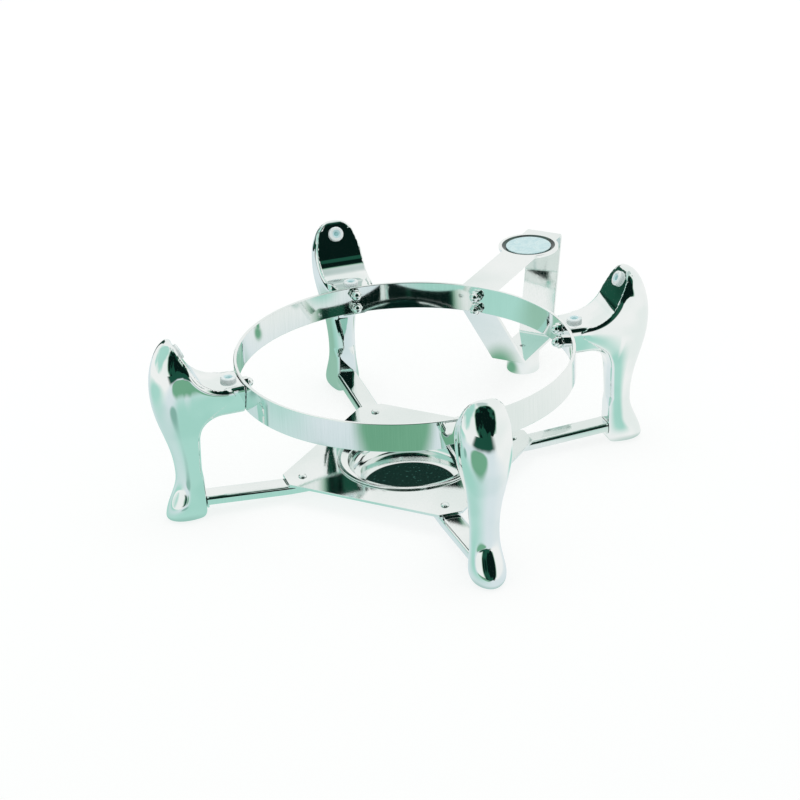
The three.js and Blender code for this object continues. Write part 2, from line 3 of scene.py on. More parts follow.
import bmesh
import bpy
import numpy as np
from mathutils import Matrix, Vector
from mathutils.kdtree import KDTree


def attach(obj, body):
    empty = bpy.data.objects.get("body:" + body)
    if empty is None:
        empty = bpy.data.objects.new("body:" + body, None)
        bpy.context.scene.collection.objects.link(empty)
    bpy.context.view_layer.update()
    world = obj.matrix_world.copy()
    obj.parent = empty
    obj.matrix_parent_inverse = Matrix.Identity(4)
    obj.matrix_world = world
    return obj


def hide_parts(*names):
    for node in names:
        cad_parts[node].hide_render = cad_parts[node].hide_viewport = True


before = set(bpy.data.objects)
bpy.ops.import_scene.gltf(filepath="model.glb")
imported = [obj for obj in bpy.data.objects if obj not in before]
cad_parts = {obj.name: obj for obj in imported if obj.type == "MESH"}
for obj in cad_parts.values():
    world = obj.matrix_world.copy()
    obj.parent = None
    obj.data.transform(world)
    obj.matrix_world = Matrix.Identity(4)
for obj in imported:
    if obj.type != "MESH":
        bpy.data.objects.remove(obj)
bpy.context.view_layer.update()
MM = 0.001  # a millimetre in the frame's metres

# Camera. It stands 2.3 m in front of the stand and a little to its left, about a metre above the table.
# The aim, the roll and the shift give the photograph's framing.
aim_height = 60 * MM
camera_azimuth = math.radians(-107.3)
camera_elevation = math.radians(26.06)
camera_roll = math.radians(-2.32)
camera_distance = 2291.4 * MM
focal_pixels = 2531.4
picture_pixels = 800
axis_pixel = (407.28, 417.04)
sensor_width = 36.0

camera_data = bpy.data.cameras.new("camera")
camera_data.sensor_width = sensor_width
camera_data.lens = focal_pixels / picture_pixels * sensor_width
camera_data.shift_x = (picture_pixels / 2 - axis_pixel[0]) / picture_pixels
camera_data.shift_y = (axis_pixel[1] - picture_pixels / 2) / picture_pixels
camera_data.clip_start = 0.05
camera_data.clip_end = 60
camera = bpy.data.objects.new("camera", camera_data)
bpy.context.scene.collection.objects.link(camera)
away = Vector((math.cos(camera_elevation) * math.cos(camera_azimuth),
               math.cos(camera_elevation) * math.sin(camera_azimuth),
               math.sin(camera_elevation)))
camera.rotation_mode = "QUATERNION"
tilt = Matrix.Rotation(camera_roll, 3, "Z").to_quaternion()
camera.rotation_quaternion = away.to_track_quat("Z", "Y") @ tilt
camera.location = Vector((0, 0, aim_height)) + away * camera_distance
bpy.context.scene.camera = camera

# Studio. The stand is on a white table before a white backdrop, and the camera sees both as white, with a
# faint shadow. Matt faces get an even pale light. Polished faces mirror a coloured room: pale to the right,
# teal to the left, dark behind the camera.


class Value:
    """A shader socket that Python arithmetic works on: each sum or product adds its own Math node."""

    def __init__(self, tree, socket):
        self.tree = tree
        self.socket = socket

    def math(self, operation, *others):
        node = self.tree.nodes.new("ShaderNodeMath")
        node.operation = operation
        for slot, value in zip(node.inputs, (self, *others)):
            plug(self.tree, slot, value)
        return Value(self.tree, node.outputs[0])

    def __add__(self, other):
        return self.math("ADD", other)

    def __sub__(self, other):
        return self.math("SUBTRACT", other)

    def __mul__(self, other):
        return self.math("MULTIPLY", other)

    def __truediv__(self, other):
        return self.math("DIVIDE", other)

    def __pow__(self, other):
        return self.math("POWER", other)

    def __rsub__(self, other):
        return (self * -1) + other

    __radd__ = __add__
    __rmul__ = __mul__

    def step(self, low, high):
        """0 below low, 1 above high, smooth between."""
        node = self.tree.nodes.new("ShaderNodeMapRange")
        node.interpolation_type = "SMOOTHSTEP"
        for name, value in (("Value", self), ("From Min", low), ("From Max", high)):
            plug(self.tree, node.inputs[name], value)
        return Value(self.tree, node.outputs["Result"])


def plug(tree, slot, value):
    """Sets an input to a number or colour, or links it to a Value."""
    if isinstance(value, Value):
        tree.links.new(value.socket, slot)
    elif slot.type == "RGBA" and len(value) == 3:
        slot.default_value = (*value, 1.0)
    else:
        slot.default_value = value


class Nodes:
    """The node tree of a material, lamp or world."""

    def __init__(self, owner):
        owner.use_nodes = True
        self.tree = owner.node_tree
        self.tree.nodes.clear()

    def add(self, kind, output=0, settings=None, **inputs):
        """Adds a node, sets its settings and then its inputs, and gives one of its outputs. Inputs go by
        name, or as in0, in1 and so on by number."""
        node = self.tree.nodes.new("ShaderNode" + kind)
        for name, value in (settings or {}).items():
            setattr(node, name, value)
        for name, value in inputs.items():
            by_number = name.startswith("in") and name[2:].isdigit()
            slot = node.inputs[int(name[2:]) if by_number else name.replace("_", " ")]
            plug(self.tree, slot, value)
        return Value(self.tree, node.outputs[output])

    def split(self, vector):
        """The x, y and z of a vector."""
        node = self.tree.nodes.new("ShaderNodeSeparateXYZ")
        plug(self.tree, node.inputs[0], vector)
        return [Value(self.tree, out) for out in node.outputs]

    def dot(self, vector, direction):
        """How far a vector goes in a direction."""
        return self.add("VectorMath", "Value", {"operation": "DOT_PRODUCT"}, in0=vector, in1=direction)

    def output(self, shader, kind="Material"):
        """Ends the tree in its output node."""
        self.tree.links.new(shader.socket, self.tree.nodes.new("ShaderNodeOutput" + kind).inputs["Surface"])

    def blend(self, share, first, second):
        """A colour between two colours."""
        node = self.tree.nodes.new("ShaderNodeMix")
        node.data_type = "RGBA"
        for slot, value in ((0, share), (6, first), (7, second)):
            plug(self.tree, node.inputs[slot], value)
        return Value(self.tree, node.outputs[2])


table_size = 9.0
table_gap = 0.3 * MM
paper_gap = 0.15 * MM
table_glow = 0.765
pale = (0.90, 0.915, 0.905)
bluish = (0.70, 0.79, 0.82)
teal = (0.40, 0.69, 0.61)
sage = (0.30, 0.53, 0.42)
mid_green = (0.17, 0.40, 0.26)
shaded = (0.26, 0.47, 0.41)
deep_green = (0.012, 0.075, 0.048)
near_black = (0.002, 0.010, 0.008)
ceiling = (0.50, 0.60, 0.58)


def sheet_on_table(name, height):
    """A square as large as the table."""
    half = table_size / 2
    mesh = bpy.data.meshes.new(name)
    corners = [(-half, -half, height), (half, -half, height), (half, half, height), (-half, half, height)]
    mesh.from_pydata(corners, [], [(0, 1, 2, 3)])
    sheet = bpy.data.objects.new(name, mesh)
    bpy.context.scene.collection.objects.link(sheet)
    mesh.materials.append(bpy.data.materials.new(name))
    return sheet


def toward(azimuth, elevation=0.0):
    """The unit vector of a direction in the room."""
    a, e = math.radians(azimuth), math.radians(elevation)
    return (math.cos(e) * math.cos(a), math.cos(e) * math.sin(a), math.sin(e))


table = sheet_on_table("table", -table_gap)
nodes = Nodes(table.data.materials[0])
seen = nodes.add("LightPath", "Is Camera Ray")
matt = nodes.add("BsdfDiffuse", Color=(0.93, 0.95, 0.94), Roughness=1.0)
faint = nodes.add("BsdfDiffuse", Color=(0.30, 0.31, 0.305), Roughness=1.0)
glow = nodes.add("Emission", Color=(1.0, 1.0, 1.0), Strength=table_glow)
nodes.output(nodes.add("MixShader", in0=seen, in1=matt, in2=nodes.add("AddShader", in0=faint, in1=glow)))


def mirrored_only(card):
    """Leaves a stage card to the reflections."""
    for ray in ("camera", "diffuse", "transmission", "volume_scatter", "shadow"):
        setattr(card, "visible_" + ray, False)


# Coloured papers round the stand, mirrored by the metal alone. Their edges wander with a cloud.
lane_middle = -0.16
ragged = 0.12
dark_azimuth = -106
foot_middle = 0.212
foot_shade = 0.6
# Each spot: x, y, the radius in which it is full, the radius at which it is gone, its colour
# The spot at 0.150, 0.178 is painted contact shade beside the bracket foot
spots = [(-0.55, 0.12, 0.10, 0.36, teal), (0.185, -0.11, 0.03, 0.09, teal), (-0.06, 0.27, 0.07, 0.17, sage),
         (0.150, 0.178, 0.004, 0.024, mid_green), (-0.19, -0.40, 0.12, 0.18, mid_green),
         (-0.262, -0.13, 0.015, 0.055, shaded)]

papers = sheet_on_table("papers", -paper_gap)
mirrored_only(papers)
nodes = Nodes(papers.data.materials[0])
place = nodes.add("TexCoord", "Object")
x, y, _ = nodes.split(place)
cloud = nodes.add("TexNoise", Vector=place, Scale=2.6, Detail=2.0) - 0.5
reach = nodes.add("VectorMath", "Value", {"operation": "LENGTH"}, in0=place)
forward = nodes.dot(place, toward(dark_azimuth))
across = (x - lane_middle).math("ABSOLUTE") + cloud * ragged
tone = nodes.blend(1 - across.step(0.20, 0.38), pale, bluish)
tone = nodes.blend((1 - across.step(0.06, 0.18)) * (1 - reach.step(0.22, 0.38)), tone, teal)
for spot_x, spot_y, full, faded, colour in spots:
    off = nodes.add("VectorMath", "Value", {"operation": "DISTANCE"}, in0=place, in1=(spot_x, spot_y, 0.0))
    tone = nodes.blend(1 - (off + cloud * ragged).step(full, faded), tone, colour)
dark = (reach + cloud * 0.2).step(0.52, 0.72) * (forward / reach).step(0.80, 0.92)
tone = nodes.blend(dark, tone, deep_green)
# Painted contact shade on the papers round each leg's foot, seen in the metal near the floor
off_x, off_y = x.math("ABSOLUTE"), y.math("ABSOLUTE")
foot_reach = ((off_x.math("MAXIMUM", off_y) - foot_middle) ** 2 + off_x.math("MINIMUM", off_y) ** 2) ** 0.5
tone = nodes.blend((1 - foot_reach.step(0.010, 0.028)) * foot_shade, tone, shaded)
nodes.output(nodes.add("Emission", Color=tone, Strength=1.0))

# A dark screen stands behind the stand and to its left
screen_near, screen_far, screen_height = (-0.16, 0.62), (-0.34, 0.56), 0.45
screen_mesh = bpy.data.meshes.new("screen")
screen_mesh.from_pydata([(*screen_near, 0), (*screen_far, 0), (*screen_far, screen_height),
                         (*screen_near, screen_height)], [], [(0, 1, 2, 3)])
screen = bpy.data.objects.new("screen", screen_mesh)
bpy.context.scene.collection.objects.link(screen)
screen_mesh.materials.append(bpy.data.materials.new("screen"))
nodes = Nodes(screen_mesh.materials[0])
cloud = nodes.add("TexNoise", Vector=nodes.add("TexCoord", "Object"), Scale=9.0, Detail=2.0)
tone = nodes.blend(cloud.step(0.4, 0.6), near_black, deep_green)
nodes.output(nodes.add("Emission", Color=tone, Strength=1.0))
mirrored_only(screen)

# The room. Polished faces mirror its colours, and all other faces get its even light.
even_light = 0.85

world = bpy.data.worlds.new("studio")
bpy.context.scene.world = world
nodes = Nodes(world)
place = nodes.add("TexCoord", "Generated")
height = nodes.split(place)[2]
cloud = nodes.add("TexNoise", Vector=place, Scale=2.6, Detail=2.0) - 0.5
behind = nodes.dot(place, toward(-95, 34)) + cloud * 0.12
leftward = nodes.dot(place, toward(158, 33)) + cloud * 0.3
tone = nodes.blend(height.step(0.90, 0.98), pale, ceiling)
tone = nodes.blend(leftward.step(0.74, 0.92), tone, teal)
tone = nodes.blend(behind.step(0.64, 0.76), tone, mid_green)
tone = nodes.blend(behind.step(0.70, 0.76), tone, deep_green)
tone = nodes.blend((cloud + behind * 0.4).step(0.26, 0.34) * behind.step(0.72, 0.78), tone, near_black)
seen = nodes.add("LightPath", "Is Camera Ray")
backdrop = nodes.add("Background", Color=(1.0, 1.0, 1.0), Strength=1.0)
room = nodes.add("Background", Color=tone, Strength=1.0)
even = nodes.add("Background", Color=pale, Strength=even_light)
light = nodes.add("MixShader", in0=nodes.add("LightPath", "Is Glossy Ray"), in1=even, in2=room)
nodes.output(nodes.add("MixShader", in0=seen, in1=light, in2=backdrop), "World")
bpy.context.scene.view_settings.view_transform = "Standard"

# A soft lamp overhead, which the metal doesn't mirror
softbox = bpy.data.lights.new("overhead_softbox", "AREA")
softbox.size = 1.6
softbox.energy = 9
softbox_object = bpy.data.objects.new("overhead_softbox", softbox)
softbox_object.location = (0.3, 0.2, 2.4)
softbox_object.visible_camera = False
softbox_object.visible_glossy = False
bpy.context.scene.collection.objects.link(softbox_object)

# Ring. A flat stainless strip, 26 mm high and 3 mm thick, rolled to 300 mm inside and welded shut, then
# polished on all its faces with the faint upright lines of the rolling left in the shine.
ring_inner = 150.0
ring_outer = 153.0
ring_bottom = 102.0
ring_top = 128.0
ring_edge = 0.6


def finished(name, material, *cad_nodes, body="root", slot="polished_steel"):
    """Gives a new piece its material and its body, and hides the CAD nodes that it stands for."""
    thing = bpy.data.objects[name]
    if not thing.data.materials:
        thing.data.materials.append(material)
    if cad_nodes:
        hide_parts(*cad_nodes)
    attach(thing, body)
    return thing


def new_piece(name, vertices, faces, smooth=True):
    """A mesh object from points in millimetres."""
    mesh = bpy.data.meshes.new(name)
    mesh.from_pydata([tuple(float(c) * MM for c in v) for v in vertices], [], faces)
    thing = bpy.data.objects.new(name, mesh)
    bpy.context.scene.collection.objects.link(thing)
    if smooth:
        mesh.shade_smooth()
        thing.modifiers.new("flats_stay_flat", "WEIGHTED_NORMAL").keep_sharp = True
    return thing


def filleted(corners, steps=6, closed=True):
    """A polyline through (x, z, fillet radius) corners, with each fillet as an arc."""
    points = []
    count = len(corners)
    for i, (x, z, radius) in enumerate(corners):
        here = np.array((x, z), float)
        if radius == 0 or (not closed and i in (0, count - 1)):
            points.append(here)
            continue
        to_last = np.array(corners[i - 1][:2], float) - here
        to_next = np.array(corners[(i + 1) % count][:2], float) - here
        to_last /= np.linalg.norm(to_last)
        to_next /= np.linalg.norm(to_next)
        half_angle = math.acos(np.clip(to_last @ to_next, -1, 1)) / 2
        reach = radius / math.tan(half_angle)
        inward = (to_last + to_next) / np.linalg.norm(to_last + to_next)
        middle = here + inward * radius / math.sin(half_angle)
        start = here + to_last * reach - middle
        end = here + to_next * reach - middle
        sweep = math.pi - 2 * half_angle
        turn = 1 if start[0] * end[1] - start[1] * end[0] > 0 else -1
        for k in range(steps + 1):
            angle = turn * sweep * k / steps
            points.append(middle + np.array((start[0] * math.cos(angle) - start[1] * math.sin(angle),
                                             start[0] * math.sin(angle) + start[1] * math.cos(angle))))
    return points


def turned(profile, segments):
    """Points and faces of a (radius, z) profile turned about Z; ends on the axis become single points."""
    closed = profile[0][0] > 1e-9
    vertices, rings, faces = [], [], []
    for radius, z in profile:
        if radius < 1e-9:
            rings.append([len(vertices)] * segments)
            vertices.append((0, 0, z))
            continue
        rings.append(list(range(len(vertices), len(vertices) + segments)))
        for k in range(segments):
            angle = 2 * math.pi * k / segments
            vertices.append((radius * math.cos(angle), radius * math.sin(angle), z))
    pairs = list(zip(rings, rings[1:] + ([rings[0]] if closed else [])))
    for low, high in pairs[:len(rings) if closed else len(rings) - 1]:
        for k in range(segments):
            n = (k + 1) % segments
            corners = []
            for index in (low[k], low[n], high[n], high[k]):
                if index not in corners:
                    corners.append(index)
            faces.append(tuple(corners))
    return vertices, faces


def moved(vertices, azimuth=0.0, shift=(0.0, 0.0, 0.0)):
    """Points shifted and then turned about Z."""
    angle = math.radians(azimuth)
    c, s = math.cos(angle), math.sin(angle)
    out = []
    for x, y, z in vertices:
        px, py, pz = x + shift[0], y + shift[1], z + shift[2]
        out.append((px * c - py * s, px * s + py * c, pz))
    return out


sheet_steel = bpy.data.materials.new("sheet_steel")
nodes = Nodes(sheet_steel)
place = nodes.add("TexCoord", "Object")
cloud = nodes.add("TexNoise", Vector=place, Scale=9.0, Detail=3.0)
lines = nodes.add("Mapping", Vector=place, Scale=(1500.0, 1500.0, 22.0))
grain = nodes.add("TexNoise", Vector=lines, Scale=1.0, Detail=2.0)
tint = nodes.blend((cloud + grain * 0.4).step(0.45, 0.95), (0.95, 0.96, 0.955), (0.80, 0.86, 0.84))
bump = nodes.add("Bump", Height=grain, Strength=0.012, Distance=0.0004)
nodes.output(nodes.add("BsdfPrincipled", Base_Color=tint, Metallic=1.0, Roughness=grain * 0.05 + 0.015,
                       Normal=bump))

ring_profile = filleted([(ring_inner, ring_bottom, ring_edge), (ring_outer, ring_bottom, ring_edge),
                         (ring_outer, ring_top, ring_edge), (ring_inner, ring_top, ring_edge)], steps=3)
new_piece("ring", *turned(ring_profile, segments=360))
finished("ring", sheet_steel, "ring_band")

# Legs. Four alike castings, chromed and mirror polished: a foot, a waisted shank, an arch, an arm that ends
# on the ring, a level seat and a horn. The seat and the horn's face are dished a little inside a rolled rim.
arm_end = 153.3
seat_level = 127.5
swoop_start = 168.3
swoop_radius = 32.0
swoop_angle = math.radians(61)
horn_tip = np.array((211.6, 172.5))
horn_shoulder = 9.0
shank_inner = 193.0
arm_under = 99.0
arch_radius = 21.0
rail_pad_top = 24.0
heel = 192.3
foot_toe = (227.8, 6.0)
foot_back = 9.0
sole_corner = 10.0
neck = (216.5, 43.0)
belly = (233.7, 128.0)
rim_roll = 3.4
rim_depth = 2.1
under_roll = 5.0
sole_roll = 1.5
dish_depth = 0.6
dish_border = (3.4, 4.6)
toe_swell = 0.5
toe_handle = (2.3, 14)
neck_handle = 13
crown_flat = 2.4
crown_lip = 0.4
crown_run = 5
arm_overrun = 8
ring_face_round = 0.8


def curve(*controls):
    """Points along a Bezier curve of any order, about every 0.1 mm."""
    controls = [np.array(c, float) for c in controls]
    length = sum(np.linalg.norm(b - a) for a, b in zip(controls, controls[1:]))
    t = np.linspace(0, 1, max(2, int(length / 0.1)), endpoint=False)[:, None]
    order = len(controls) - 1
    return sum(math.comb(order, k) * (1 - t) ** (order - k) * t ** k * c for k, c in enumerate(controls))


def arc(middle, radius, start, end):
    """Points along an arc, about every 0.1 mm."""
    angles = np.linspace(start, end, max(2, int(abs(end - start) * radius / 0.1)), endpoint=False)
    return np.stack([middle[0] + radius * np.cos(angles), middle[1] + radius * np.sin(angles)], 1)


face_direction = np.array((math.cos(swoop_angle), math.sin(swoop_angle)))
face_start = np.array((swoop_start + swoop_radius * math.sin(swoop_angle),
                       seat_level + swoop_radius * (1 - math.cos(swoop_angle))))
face_end = horn_tip - face_direction * crown_run
crown_end = horn_tip + (crown_flat, 0)
toe_x, toe_z = foot_toe
neck_x, neck_z = neck
belly_x, belly_z = belly
high_pull = 0.4 * (belly_z - neck_z)
crown_pull = 0.5 * (horn_tip[1] - belly_z)
arm_inner = arm_end - arm_overrun
arch_start = shank_inner - arch_radius

# The side view, stretch by stretch. Each has its points, then its edge radius, how many times deeper than
# wide that edge is, and how far the face is dished.
bare, rim, dished = (0.0, 1.0, 0.0), (rim_roll, rim_depth, 0.0), (rim_roll, rim_depth, dish_depth)
under, sole = (under_roll, 1.0, 0.0), (sole_roll, 1.0, 0.0)
toe_pull = (toe_x - toe_handle[0], toe_z + toe_handle[1])
swoop_middle = (swoop_start, seat_level + swoop_radius)
stretches = [
    (curve((toe_x - sole_corner, 0), (toe_x + toe_swell, 0), foot_toe), *bare),
    (curve(foot_toe, toe_pull, (neck_x, neck_z - neck_handle), neck), *bare),
    (curve(neck, (neck_x, neck_z + high_pull), (belly_x, belly_z - high_pull), belly), *bare),
    (curve(belly, (belly_x, belly_z + crown_pull), (belly_x - horn_shoulder, horn_tip[1]), crown_end), *bare),
    (curve(crown_end, horn_tip - (crown_lip, 0), face_end), *rim),
    (curve(face_end, face_start), *dished),
    (arc(swoop_middle, swoop_radius, swoop_angle - math.pi / 2, -math.pi / 2), *dished),
    (curve((swoop_start, seat_level), (arm_inner, seat_level)), *dished),
    (curve((arm_inner, seat_level), (arm_inner, arm_under)), *under),
    (curve((arm_inner, arm_under), (arch_start, arm_under)), *under),
    (arc((arch_start, arm_under - arch_radius), arch_radius, math.pi / 2, 0), *under),
    (curve((shank_inner, arm_under - arch_radius), (shank_inner, neck_z)), *under),
    (curve((shank_inner, neck_z), (heel, rail_pad_top)), *sole),
    (curve((heel, rail_pad_top), (heel, foot_back)), *sole),
    (curve((heel, foot_back), (heel, 0), (heel + foot_back, 0)), *sole),
    (curve((heel + foot_back, 0), (toe_x - sole_corner, 0)), *sole),
]


def evened(values, reach=40):
    """A closed row of values, each replaced by the mean of its neighbours."""
    padded = np.concatenate([values[-reach:], values, values[:reach]])
    return np.convolve(padded, np.ones(2 * reach + 1) / (2 * reach + 1), "valid")


side_line = np.concatenate([stretch[0] for stretch in stretches])
side_traits = [evened(np.concatenate([np.full(len(stretch[0]), stretch[k]) for stretch in stretches]))
               for k in (1, 2, 3)]
outer_count = sum(len(stretch[0]) for stretch in stretches[:4])
outer_heights = side_line[:outer_count, 1]
outer_places = side_line[:outer_count, 0]

# Half widths seen from the front at heights up the leg, and the share of them left at the inner side
width_heights = [0, 1, 2, 4, 8, 13, 20, 30, 43, 60, 75, 90, 105, 120, 130, 140, 150, 160, 168, 172.5]
half_widths = [6.0, 9.6, 11.6, 13.6, 15.4, 15.8, 15.0, 13.5, 12.6, 13.0, 14.4, 16.8, 19.6, 21.9, 22.5, 22.5,
               21.6, 19.0, 15.5, 11.5]
inner_share = (0.4, 0.93)
arm_share = 0.92
arm_flare = 25.0
arm_flare_heights = (90, 125)
flank_join = 6
flank_join_run = (1, 12)
even_share = 0.6
least_slope = 0.2
longest_move = 1.5


def smooth_line(heights, values, samples=600):
    """A table of a smooth curve through values, as a natural cubic spline."""
    x, y = np.array(heights, float), np.array(values, float)
    h = np.diff(x)
    n = len(x)
    system = np.eye(n)
    right = np.zeros(n)
    for i in range(1, n - 1):
        system[i, i - 1:i + 2] = (h[i - 1], 2 * (h[i - 1] + h[i]), h[i])
        right[i] = 6 * ((y[i + 1] - y[i]) / h[i] - (y[i] - y[i - 1]) / h[i - 1])
    second = np.linalg.solve(system, right)
    at = np.linspace(x[0], x[-1], samples)
    k = np.clip(np.searchsorted(x, at, side="right") - 1, 0, n - 2)
    a, b = x[k + 1] - at, at - x[k]
    spline = ((second[k] * a ** 3 + second[k + 1] * b ** 3) / (6 * h[k])
              + (y[k] / h[k] - second[k] * h[k] / 6) * a + (y[k + 1] / h[k] - second[k + 1] * h[k] / 6) * b)
    return at, spline


width_table = smooth_line(width_heights, half_widths)

side_tree = KDTree(len(side_line))
for number, (line_x, line_z) in enumerate(side_line):
    side_tree.insert((line_x, line_z, 0), number)
side_tree.balance()
side_direction = np.roll(side_line, -1, 0) - np.roll(side_line, 1, 0)
side_normal = np.stack([side_direction[:, 1], -side_direction[:, 0]], 1)
side_normal /= np.linalg.norm(side_normal, axis=1)[:, None]


def side_views(x, z):
    """Signed distance from the side view's line, with the three traits of its nearest point."""
    points = np.stack([x, z], 1)
    index = np.array([side_tree.find((px, pz, 0))[1] for px, pz in points])
    signed = ((points - side_line[index]) * side_normal[index]).sum(1)
    return signed, *[trait[index] for trait in side_traits]


def smoothstep(low, high, value):
    share = np.clip((value - low) / (high - low), 0, 1)
    return share * share * (3 - 2 * share)


def rounded_max(a, b, radius):
    """The meeting of two solids with a round edge."""
    outside = np.hypot(np.maximum(a + radius, 0), np.maximum(b + radius, 0))
    return np.minimum(np.maximum(a + radius, b + radius), 0) + outside - radius


def smooth_min(a, b, reach):
    """The joining of two solids with a fillet."""
    near = np.maximum(reach - np.abs(a - b), 0) / np.maximum(reach, 1e-6)
    return np.minimum(a, b) - near * near * reach / 4


def oval(x, y, half_x, half_y):
    """About the distance outside an ellipse."""
    size = np.hypot(x / half_x, y / half_y)
    return (size - 1) * size / np.maximum(np.hypot(x / half_x ** 2, y / half_y ** 2), 1e-6)


def leg_field(x, y, z, views=None):
    """About the distance outside the skin of the leg that points along X; negative inside."""
    signed, roll, deeper, dish = side_views(x, z) if views is None else views
    y = np.abs(y)
    half = np.interp(z, *width_table)
    outer = np.interp(z, outer_heights, outer_places)
    middle = outer - 0.5 * np.maximum(outer - shank_inner, 0)
    inner = np.minimum(shank_inner - arm_flare * smoothstep(*arm_flare_heights, z), middle - 1)
    chord = half * (inner_share[0] + (inner_share[1] - inner_share[0]) * smoothstep(neck_z, belly_z, z))
    arm = chord * (arm_share + (1 - arm_share) * np.clip((x - arm_end) / (inner - arm_end), 0, 1))
    round_front = oval(np.maximum(x - middle, 0), y, outer - middle, half)
    oval_back = oval(np.maximum(middle - x, 0), np.maximum(y - chord, 0), middle - inner, half - chord)
    join = flank_join * smoothstep(*flank_join_run, middle - x)
    back = smooth_min(oval_back, y - arm, np.maximum(half - chord, join))
    flank = np.where(x > middle, round_front, back)
    signed = signed + dish * smoothstep(*dish_border, -flank)
    skin = rounded_max(signed / deeper, flank, roll)
    return rounded_max(skin, arm_end - np.hypot(x, y), ring_face_round)


def leg_gradient(points, h=0.12):
    """The outward direction of the skin at points near it."""
    x, y, z = points.T
    views = side_views(x, z)
    gx = leg_field(x + h, y, z) - leg_field(x - h, y, z)
    gy = leg_field(x, y + h, z, views) - leg_field(x, y - h, z, views)
    gz = leg_field(x, y, z + h) - leg_field(x, y, z - h)
    return np.stack([gx, gy, gz], 1) / (2 * h)


def net_over(field, low, high, cell):
    """A quad mesh near the zero skin of a field on a grid: one point in each cell that the skin crosses."""
    sizes = [int((b - a) / cell) + 2 for a, b in zip(low, high)]
    xs, ys, zs = [a + cell * np.arange(n) for a, n in zip(low, sizes)]
    gx, gz = np.meshgrid(xs, zs, indexing="ij")
    flat = side_views(gx.ravel(), gz.ravel())
    shape = (len(xs), len(ys), len(zs))
    spread = [np.broadcast_to(v.reshape(len(xs), 1, len(zs)), shape).ravel() for v in flat]
    grid = np.meshgrid(xs, ys, zs, indexing="ij")
    values = field(*[g.ravel() for g in grid], spread).reshape(shape)
    inside = values < 0
    corner = [inside[i:shape[0] - 1 + i, j:shape[1] - 1 + j, k:shape[2] - 1 + k]
              for i in (0, 1) for j in (0, 1) for k in (0, 1)]
    total = np.sum(corner, axis=0)
    crossed = (total > 0) & (total < 8)
    number = np.full(crossed.shape, -1)
    number[crossed] = np.arange(crossed.sum())
    cells = np.argwhere(crossed)
    points = np.stack([xs[cells[:, 0]], ys[cells[:, 1]], zs[cells[:, 2]]], 1) + cell / 2
    faces = []
    for axis in range(3):
        other = [a for a in range(3) if a != axis]
        front = np.take(inside, range(0, shape[axis] - 1), axis)
        back = np.take(inside, range(1, shape[axis]), axis)
        for i, j, k in np.argwhere(front != back):
            at = [i, j, k]
            if at[other[0]] == 0 or at[other[1]] == 0:
                continue
            ring = []
            for da, db in ((1, 1), (0, 1), (0, 0), (1, 0)):
                cell_at = list(at)
                cell_at[other[0]] -= da
                cell_at[other[1]] -= db
                ring.append(int(number[tuple(cell_at)]))
            flip = bool(inside[i, j, k]) == (axis == 1)
            faces.append(tuple(reversed(ring)) if flip else tuple(ring))
    return points, faces


def relaxed(points, faces, field_gradient, field, rounds):
    """Moves net points onto the skin, evening them out between rounds."""
    edges = np.array([(f[k], f[(k + 1) % 4]) for f in faces for k in range(4)])
    count = np.bincount(edges[:, 0], minlength=len(points)) + np.bincount(edges[:, 1], minlength=len(points))
    for step_number in range(rounds):
        if step_number < rounds - 2:
            mean = np.zeros_like(points)
            np.add.at(mean, edges[:, 0], points[edges[:, 1]])
            np.add.at(mean, edges[:, 1], points[edges[:, 0]])
            points = (1 - even_share) * points + even_share * mean / count[:, None]
        slope = field_gradient(points)
        value = field(*points.T)
        move = -value / np.maximum((slope ** 2).sum(1), least_slope)
        points = points + slope * np.clip(move, -longest_move, longest_move)[:, None]
    return points


leg_cell = 1.1
leg_low, leg_high = (151.0, -24.5, -2.0), (236.0, 24.5, 175.0)
leg_points, leg_faces = net_over(leg_field, leg_low, leg_high, leg_cell)
leg_points = relaxed(leg_points, leg_faces, leg_gradient, leg_field, rounds=6)
leg_normals = leg_gradient(leg_points, h=0.3)
leg_normals /= np.linalg.norm(leg_normals, axis=1)[:, None]

cast_chrome = bpy.data.materials.new("cast_chrome")
nodes = Nodes(cast_chrome)
place = nodes.add("TexCoord", "Object")
wave = nodes.add("TexNoise", Vector=place, Scale=38.0, Detail=1.0)
smudge = nodes.add("TexNoise", Vector=place, Scale=160.0, Detail=4.0)
tint = nodes.blend(wave.step(0.35, 0.65), (0.94, 0.955, 0.95), (0.86, 0.91, 0.895))
bump = nodes.add("Bump", Height=wave, Strength=0.08, Distance=0.001)
nodes.output(nodes.add("BsdfPrincipled", Base_Color=tint, Metallic=1.0, Roughness=smudge * 0.04 + 0.01,
                       Normal=bump))

stations = {"right": 0, "back": 90, "left": 180, "front": 270}
for station, azimuth in stations.items():
    name = f"leg_{station}_casting"
    leg = new_piece(name, moved(leg_points, azimuth), leg_faces, smooth=False)
    leg.data.shade_smooth()
    leg.data.normals_split_custom_set_from_vertices(moved(leg_normals, azimuth))
    finished(name, cast_chrome, f"leg_{station}", slot="cast_chrome")

# Pads. Round silicone discs, 14 mm across, bonded in the level seat and the horn of each leg. Each has a
# softened rim and a shallow eye in the middle.
pad_radius = 7.0
pad_height = 2.6
pad_root = -1.1
pad_eye = 2.6
pad_eye_depth = 0.9
pad_rim = 2.2
seat_pad_from_ring = 9.5
horn_pad_place = 0.62


def clouded_rubber(name, light, dark):
    """Glossy silicone with faint clouds in it."""
    material = bpy.data.materials.new(name)
    nodes = Nodes(material)
    cloud = nodes.add("TexNoise", Vector=nodes.add("TexCoord", "Object"), Scale=220.0, Detail=2.0)
    bump = nodes.add("Bump", Height=cloud, Strength=0.05, Distance=0.0003)
    tint = nodes.blend(cloud.step(0.35, 0.65), light, dark)
    nodes.output(nodes.add("BsdfPrincipled", Base_Color=tint, Roughness=cloud * 0.15 + 0.22, Coat_Weight=0.3,
                           Normal=bump))
    return material


